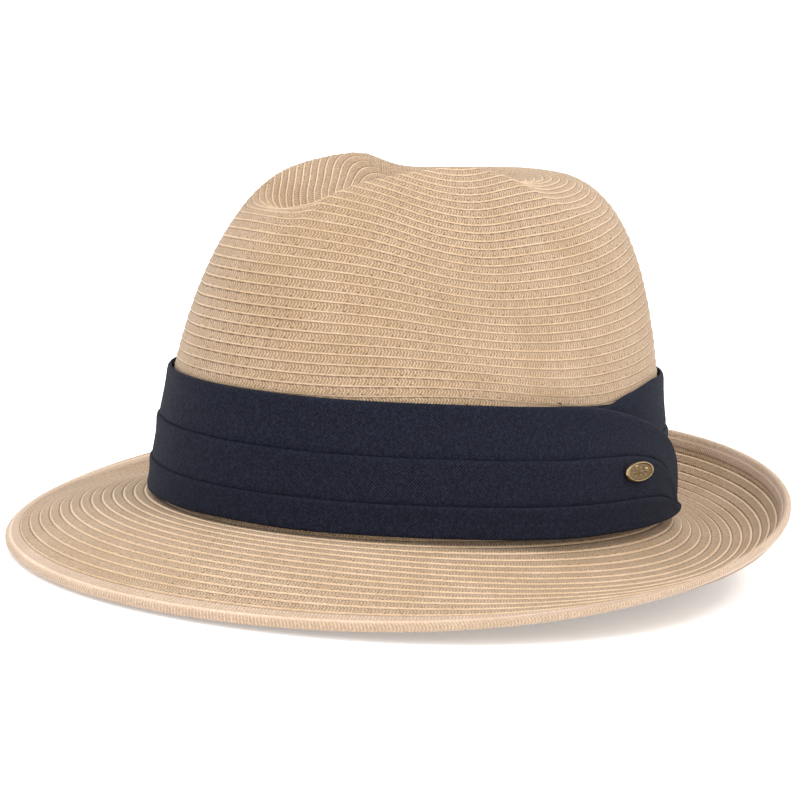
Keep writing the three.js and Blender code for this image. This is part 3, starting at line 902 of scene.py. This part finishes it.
def make_seam_tape(material):
    low, high = box_mm("sweatband_seam_tape")
    half = (high[0] - low[0]) / 2
    around = np.linspace(-1, 1, 13)
    angle = np.pi + around * half / HALF_LENGTH
    stand = SWEATBAND_STAND - 1.4
    grid = strip_outline(angle, low[2], high[2], stand, 0.7 * (1 - 0.5 * around**6), 8)
    tape = outline_mesh("seam_tape", grid, closed=False)
    return finish_piece(tape, "hat", material, ["sweatband_seam_tape"])


def stitch_mesh(name, starts, ends, outs, radius):
    """Short bowed stitches, each a small tube with rounded ends."""
    rings, sides = 7, 6
    points, faces = [], []
    share = np.linspace(0, 1, rings)
    bow = np.sin(np.pi * share)
    size = radius * np.sqrt(np.clip(1 - (2 * share - 1) ** 6, 0.02, 1))
    for start, end, out in zip(starts, ends, outs):
        side = unit(np.cross(end - start, out))
        first = len(points)
        for ring in range(rings):
            centre = mix(start, end, share[ring]) + out * radius * (0.9 * bow[ring] - 0.4)
            for k in range(sides):
                turn = FULL_TURN * k / sides
                points.append(centre + size[ring] * (side * math.cos(turn) + out * math.sin(turn)))
        for ring in range(rings - 1):
            for k in range(sides):
                a, b = first + ring * sides + k, first + ring * sides + (k + 1) % sides
                faces.append([a, b, b + sides, a + sides])
        faces.append([first + k for k in reversed(range(sides))])
        faces.append([first + (rings - 1) * sides + k for k in range(sides)])
    return make_mesh(name, np.array(points), faces)


def make_sweatband_stitches(material):
    low, high = box_mm("sweatband_thread")
    height = (low[2] + high[2]) / 2
    stand = SWEATBAND_STAND - 0.15
    share = np.arange(SWEATBAND_STITCHES) / SWEATBAND_STITCHES
    half = STITCH_SHARE / SWEATBAND_STITCHES
    starts = wall_point(FULL_TURN * (share - half), height, stand)
    ends = wall_point(FULL_TURN * (share + half), height, stand)
    middle = wall_point(FULL_TURN * share, height, stand)
    inner = wall_point(FULL_TURN * share, height, stand - 1)
    stitches = stitch_mesh("sweatband_stitches", starts, ends, unit(inner - middle), 0.3)
    return finish_piece(stitches, "hat", material, ["sweatband_thread"])


def make_tack(index, material):
    """Two short stitches that hold the band's top edge to the straw."""
    node = f"hatband_tack_{index}"
    low, high = box_mm(node)
    centre = (low + high) / 2
    around = math.degrees(math.atan2(centre[0], -centre[1]))
    place, axes = wall_frame(around, centre[2], 0.0)
    starts, ends, outs = [], [], []
    for k in (-1, 1):
        beside = place + axes[0] * k * TACK_SPACING
        starts.append(beside - axes[1] * TACK_START[0] + axes[2] * TACK_START[1])
        ends.append(beside - axes[1] * TACK_END[0] + axes[2] * TACK_END[1])
        outs.append(unit(axes[2] + axes[1]))
    tack = stitch_mesh(f"band_tack_{index}", starts, ends, outs, TACK_THREAD)
    return finish_piece(tack, "hat", material, [node])


def make_label(material, thread):
    """A blank woven label, sewn along its top edge, with a turned border."""
    place, axes = wall_frame(LABEL_AROUND, label_high[2], SWEATBAND_STAND - 1.9)
    width, height = (side / MM for side in LABEL_FLAT)
    columns, rows = LABEL_COLUMNS, LABEL_ROWS
    points = []
    for side in (1, -1):
        for i in range(columns):
            for j in range(rows):
                across, down = i / (columns - 1) * 2 - 1, j / (rows - 1)
                curl = 0.35 * across**2 - 0.5 * down**2
                border = 0.12 * smooth((max(abs(across), abs(2 * down - 1)) - 0.84) / 0.05)
                depth = curl + side * (0.2 + border)
                point = place + axes[0] * across * width / 2 - axes[1] * down * height
                points.append(point + axes[2] * (depth - 0.1))
    faces, uvs = [], []
    total = columns * rows

    def put(a, b, c, d):
        faces.append([a, b, c, d])
        uvs.append([((k % total) // rows, (k % total) % rows) for k in (a, b, c, d)])

    for i in range(columns - 1):
        for j in range(rows - 1):
            a, b = i * rows + j, (i + 1) * rows + j
            put(a, a + 1, b + 1, b)
            put(total + a, total + b, total + b + 1, total + a + 1)
    for i in range(columns - 1):
        for j, flip in ((0, False), (rows - 1, True)):
            a, b = i * rows + j, (i + 1) * rows + j
            put(*((a, b, b + total, a + total)[:: -1 if flip else 1]))
    for j in range(rows - 1):
        for i, flip in ((0, True), (columns - 1, False)):
            a, b = i * rows + j, i * rows + j + 1
            put(*((a, b, b + total, a + total)[:: -1 if flip else 1]))
    label = make_mesh("woven_label", np.array(points), faces, uvs)
    finish_piece(label, "label", material, ["size_label"])
    starts, ends, outs = [], [], []
    for spot in np.linspace(-1, 1, LABEL_STITCHES) * (width / 2 - 1.5):
        base = place + axes[0] * spot - axes[1] * 1.2 - axes[2] * 0.45
        starts.append(base - axes[0] * 0.9)
        ends.append(base + axes[0] * 0.9)
        outs.append(-axes[2])
    stitches = stitch_mesh("label_stitches", starts, ends, outs, 0.16)
    return label, finish_piece(stitches, "label", thread)


# ---------------------------------------------------------------- the badge


def make_badge(material):
    """A small oval badge: a raised rim round a sunk field with a plain rosette."""
    place, (right, up, out) = wall_frame(BADGE_AROUND, BADGE_HEIGHT, BADGE_STAND)
    rings, sides = BADGE_RINGS, BADGE_SIDES
    edge_shares, edge_heights = BADGE_EDGE
    radius = np.concatenate([np.linspace(0.03, 0.93, rings - len(edge_shares)), edge_shares])
    turn = FULL_TURN * np.arange(sides) / sides
    r, a = np.meshgrid(radius, turn, indexing="ij")
    height = BADGE_FACE + BADGE_DOME * (1 - r**2)
    for at, spread, tall, repeats in BADGE_RELIEF:
        height = height + tall * np.cos(repeats * a) * np.exp(-(((r - at) / spread) ** 2))
    height[-len(edge_heights):] = np.array(edge_heights)[:, None]
    x = r * np.cos(a) * BADGE_LENGTH / 2
    y = r * np.sin(a) * BADGE_WIDTH / 2
    points = place + x[..., None] * right + y[..., None] * up + height[..., None] * out
    points = points.reshape(-1, 3)
    faces = []
    for i in range(rings - 1):
        for k in range(sides):
            following = (k + 1) % sides
            inner, outer = i * sides, (i + 1) * sides
            faces.append([inner + k, outer + k, outer + following, inner + following])
    faces.append(list(range(sides)))
    faces.append([(rings - 1) * sides + k for k in reversed(range(sides))])
    badge = make_mesh("badge_oval", points, faces)
    return finish_piece(badge, "hat", material, ["badge_plate"])


def repaint(nodes, material):
    """Gives CAD pieces that stay as they are their finish."""
    for name in nodes:
        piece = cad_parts[name]
        piece.data.materials.clear()
        piece.data.materials.append(material)


# ---------------------------------------------------------------- camera, floor and light


def aim_axes(azimuth, elevation, roll):
    a, e, r = (math.radians(v) for v in (azimuth, elevation, roll))
    back = Vector((math.sin(a) * math.cos(e), -math.cos(a) * math.cos(e), math.sin(e)))
    level = Vector((math.cos(a), math.sin(a), 0))
    over = back.cross(level)
    right = level * math.cos(r) + over * math.sin(r)
    up = over * math.cos(r) - level * math.sin(r)
    return right, up, back


def add_camera():
    data = bpy.data.cameras.new("camera")
    data.lens = CAMERA["lens"]
    data.sensor_width = 36
    data.shift_x = CAMERA["shift_x"]
    data.shift_y = CAMERA["shift_y"]
    data.clip_end = 100
    camera = bpy.data.objects.new("camera", data)
    bpy.context.scene.collection.objects.link(camera)
    right, up, back = aim_axes(CAMERA["azimuth"], CAMERA["elevation"], CAMERA["roll"])
    turned = Matrix((right, up, back)).transposed().to_4x4()
    camera.matrix_world = Matrix.Translation(Vector(CAMERA["target"]) + back * CAMERA["distance"]) @ turned
    bpy.context.scene.camera = camera


def add_floor():
    half = 80.0
    height = cad_low[2] - 0.0012
    mesh = bpy.data.meshes.new("floor")
    corners = [(-half, -half, height), (half, -half, height), (half, half, height), (-half, half, height)]
    mesh.from_pydata(corners, [], [(0, 1, 2, 3)])
    mesh.materials.append(floor_material())
    floor = bpy.data.objects.new("floor", mesh)
    bpy.context.scene.collection.objects.link(floor)


def add_area_light(name, azimuth, elevation, distance, size, power):
    data = bpy.data.lights.new(name, "AREA")
    data.size = size
    data.energy = power
    light = bpy.data.objects.new(name, data)
    bpy.context.scene.collection.objects.link(light)
    centre = Vector((0, 0, 0.05))
    _, _, back = aim_axes(azimuth, elevation, 0)
    light.location = centre + back * distance
    light.rotation_mode = "QUATERNION"
    light.rotation_quaternion = (-back).to_track_quat("-Z", "Y")


def add_world():
    world = bpy.data.worlds.new("studio")
    world.use_nodes = True
    background = world.node_tree.nodes["Background"]
    background.inputs[0].default_value = (1, 1, 1, 1)
    background.inputs[1].default_value = 1.3
    bpy.context.scene.world = world


def add_lights():
    for name, azimuth, elevation, distance, size, power in STUDIO_LIGHTS:
        add_area_light(name, azimuth, elevation, distance, size, power)


# ---------------------------------------------------------------- the scene


def build():
    straw = straw_material(
        "straw_braid", (0.60, 0.43, 0.285, 1), (0.525, 0.365, 0.22, 1), (0.24, 0.145, 0.07, 1), 0.62, 1.0
    )
    edge = straw_material(
        "straw_edge_braid", (0.63, 0.47, 0.35, 1), (0.56, 0.41, 0.29, 1), (0.36, 0.24, 0.15, 1), 0.5, 0.0
    )
    cloth = cloth_material("navy_weave", (0.004, 0.0045, 0.009, 1), (0.017, 0.02, 0.036, 1), 0.8)
    lining = cloth_material("navy_lining", (0.006, 0.007, 0.012, 1), (0.02, 0.022, 0.035, 1), 0.6)
    ribbon = ribbed_material("sweatband_grosgrain", (0.012, 0.014, 0.024, 1), (0.05, 0.056, 0.08, 1), 0.9)
    woven = ribbed_material("label_weave", (0.72, 0.70, 0.66, 1), (0.85, 0.83, 0.79, 1), 0.6)
    tan_thread = thread_material("tan_thread", (0.62, 0.48, 0.33, 1), (0.45, 0.33, 0.21, 1))
    navy_thread = thread_material("navy_thread", (0.02, 0.023, 0.04, 1), (0.008, 0.009, 0.015, 1))
    brass = brass_material("antique_brass")
    crown = make_crown(straw)
    make_brim(straw)
    make_edge_row(edge)
    backing = make_backing(lining)
    band = make_band(cloth)
    tacks = [make_tack(index, navy_thread) for index in range(1, 7)]
    tongue_lining = make_tongue_lining(lining)
    sweatband = make_sweatband(ribbon)
    stitches = make_sweatband_stitches(tan_thread)
    make_seam_tape(ribbon)
    label, label_stitches = make_label(woven, tan_thread)
    make_badge(brass)
    repaint(["badge_prong_1", "badge_prong_2", "badge_washer"], brass)


bpy.context.scene.view_settings.view_transform = "Standard"
add_camera()
add_world()
add_floor()
add_lights()
build()
